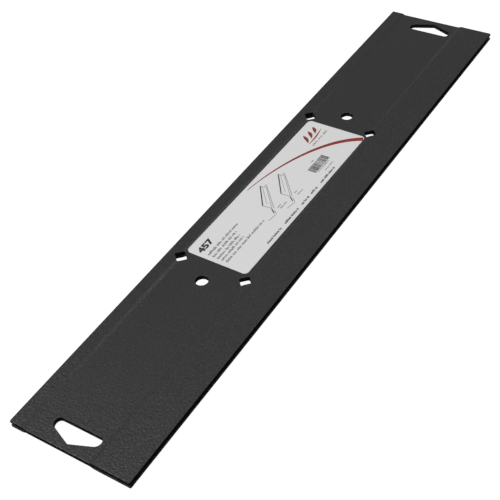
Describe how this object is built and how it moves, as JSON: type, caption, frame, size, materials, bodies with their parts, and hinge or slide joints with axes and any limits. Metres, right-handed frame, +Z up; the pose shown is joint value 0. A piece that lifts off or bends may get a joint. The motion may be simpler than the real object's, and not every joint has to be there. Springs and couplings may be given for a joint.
{
  "type": "sheet metal folding tool",
  "caption": "Flat hand tool of two joggled steel plates joined back to back, with a shallow folding slot along one long edge and a deep one along the other.",
  "frame": {"origin": "centre of the underside of the lower plate's jaws, on which the tool lies", "axes": "+X along the tool's length, +Y across it towards the shallow slot, +Z up through the thickness, towards the labelled plate"},
  "size_m": [0.4572, 0.0826, 0.0051],
  "materials": {
    "powder_coat": "fine textured black powder coat on steel",
    "fused_steel": "bare fused steel",
    "label_vinyl": "printed pale grey vinyl"
  },
  "bodies": {
    "root": {"upper_plate_strip": "powder_coat", "upper_plate_shallow_jaw": "powder_coat", "upper_plate_deep_jaw": "powder_coat", "lower_plate_strip": "powder_coat", "lower_plate_shallow_jaw": "powder_coat", "lower_plate_deep_jaw": "powder_coat", "spot_weld_01": "fused_steel", "spot_weld_02": "fused_steel", "spot_weld_03": "fused_steel", "spot_weld_04": "fused_steel", "spot_weld_05": "fused_steel", "spot_weld_06": "fused_steel", "spot_weld_07": "fused_steel", "spot_weld_08": "fused_steel", "spot_weld_09": "fused_steel", "spot_weld_10": "fused_steel", "spot_weld_11": "fused_steel", "spot_weld_12": "fused_steel", "label": "label_vinyl"}
  },
  "joints": []
}
